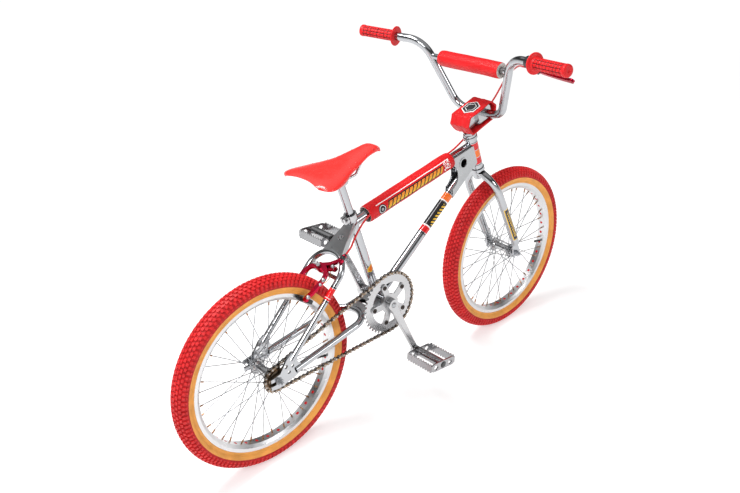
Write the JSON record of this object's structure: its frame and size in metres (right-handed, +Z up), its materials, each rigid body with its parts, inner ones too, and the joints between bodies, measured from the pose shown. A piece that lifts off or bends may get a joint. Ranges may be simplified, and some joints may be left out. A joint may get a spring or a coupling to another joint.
{
  "type": "bmx bike",
  "caption": "Child-size BMX bike with boxed frame gussets, high bars with padded crossbar, padded stem and top tube, spoked wheels and a rear caliper brake.",
  "frame": {"origin": "on the ground plane, midway between the two wheel axles and on the bike's middle plane", "axes": "+X forward, towards the front wheel; +Y to the rider's left; +Z up"},
  "size_m": [1.412, 0.7176, 0.9346],
  "materials": {
    "chrome": "polished chrome plating",
    "grey_plate": "satin grey",
    "steel": "zinc plated",
    "bronze_steel": "dark bronze",
    "silver_alloy": "polished",
    "red_fabric": "nylon over foam",
    "red_grip": "moulded rubber",
    "red_tyre": "moulded rubber",
    "red_plastic": "gloss",
    "red_alloy": "crimson anodised",
    "black_plastic": "satin"
  },
  "bodies": {
    "frame": {"head_tube": "chrome", "bottom_bracket_shell": "chrome", "seat_tube": "chrome", "top_tube": "chrome", "down_tube": "chrome", "head_gusset": "grey_plate", "dropouts": "chrome", "chain_stay_loop": "chrome", "seat_stay_loop": "chrome", "chain_stay_yoke": "grey_plate", "seat_stay_yoke": "grey_plate", "headset_cups": "steel", "bottom_bracket_bearings": "steel", "seat_clamp": "silver_alloy", "top_tube_pad": "red_fabric", "rear_axle": "steel", "chain": "bronze_steel", "brake_cable_rear": "black_plastic", "brake_pivot_bolt": "steel"},
    "steering": {"fork": "chrome", "headset_nuts": "chrome", "stem": "silver_alloy", "stem_clamp": "silver_alloy", "stem_bolts": "steel", "handlebar": "chrome", "crossbar_pad": "red_fabric", "stem_pad": "red_fabric", "grips": "red_grip", "brake_lever_perch": "black_plastic", "brake_cable_front": "black_plastic", "front_axle": "steel"},
    "front_wheel": {"front_rim": "silver_alloy", "front_tyre": "red_tyre", "front_hub": "silver_alloy", "front_bearings": "steel", "front_spokes": "steel"},
    "rear_wheel": {"rear_rim": "silver_alloy", "rear_tyre": "red_tyre", "rear_hub": "silver_alloy", "rear_bearings": "steel", "rear_spokes": "steel", "freewheel_body": "bronze_steel"},
    "freewheel": {"freewheel_cog": "bronze_steel"},
    "crank": {"crank_axle": "steel", "crank_arm_right": "silver_alloy", "crank_arm_left": "silver_alloy", "chainring_spider": "silver_alloy", "chainring": "silver_alloy", "chainring_bolts": "steel", "pedal_spindles": "steel"},
    "pedal_left": {"pedal_left": "silver_alloy"},
    "pedal_right": {"pedal_right": "silver_alloy"},
    "brake_lever": {"brake_lever": "red_alloy"},
    "brake_arm_left": {"brake_arm_left": "red_alloy"},
    "brake_arm_right": {"brake_arm_right": "red_alloy"},
    "seat": {"seat_post": "chrome", "saddle_shell": "red_plastic", "saddle_clamp": "steel", "saddle_rails": "steel"}
  },
  "joints": [
    {"name": "steering_turn", "type": "hinge", "parent": "frame", "child": "steering", "pos_m": [0.3042, 0, 0.6353], "axis": [-0.2949, 0, 0.9555], "range_deg": [-60, 60], "deforming": ["brake_cable_rear"]},
    {"name": "front_wheel_spin", "type": "hinge", "parent": "steering", "child": "front_wheel", "pos_m": [0.45, 0, 0.256], "axis": [0, 1, 0], "continuous": true},
    {"name": "rear_wheel_spin", "type": "hinge", "parent": "frame", "child": "rear_wheel", "pos_m": [-0.45, 0, 0.256], "axis": [0, 1, 0], "continuous": true},
    {"name": "crank_spin", "type": "hinge", "parent": "frame", "child": "crank", "pos_m": [-0.072, 0, 0.305], "axis": [0, 1, 0], "continuous": true, "deforming": ["chain"]},
    {"name": "freewheel_spin", "type": "hinge", "parent": "frame", "child": "freewheel", "pos_m": [-0.45, 0, 0.256], "axis": [0, 1, 0], "continuous": true},
    {"name": "pedal_left_spin", "type": "hinge", "parent": "crank", "child": "pedal_left", "pos_m": [-0.13414, 0.136, 0.46859], "axis": [0, 1, 0], "continuous": true},
    {"name": "pedal_right_spin", "type": "hinge", "parent": "crank", "child": "pedal_right", "pos_m": [-0.00986, -0.136, 0.14141], "axis": [0, 1, 0], "continuous": true},
    {"name": "brake_lever_pull", "type": "hinge", "parent": "steering", "child": "brake_lever", "pos_m": [0.28415, -0.22631, 0.88292], "axis": [-0.6878, 0.1092, -0.7177], "range_deg": [0, 13], "stiffness_Nm_per_rad": 0.4, "springref_deg": -8.59},
    {"name": "brake_arm_left_close", "type": "hinge", "parent": "frame", "child": "brake_arm_left", "pos_m": [-0.25, 0, 0.461], "axis": [-0.5101, 0, 0.8601], "range_deg": [0, 1.04]},
    {"name": "brake_arm_right_close", "type": "hinge", "parent": "frame", "child": "brake_arm_right", "pos_m": [-0.25, 0, 0.461], "axis": [0.5101, 0, -0.8601], "range_deg": [0, 1.04]},
    {"name": "seat_height", "type": "slide", "parent": "frame", "child": "seat", "axis": [-0.2721, 0, 0.9623], "range_m": [-0.07, 0.04]}
  ],
  "couplings": [
    {"joint": "freewheel_spin", "follows": "crank_spin", "ratio": 2.625},
    {"joint": "brake_arm_left_close", "follows": "brake_lever_pull", "ratio": 0.08},
    {"joint": "brake_arm_right_close", "follows": "brake_lever_pull", "ratio": 0.08}
  ]
}
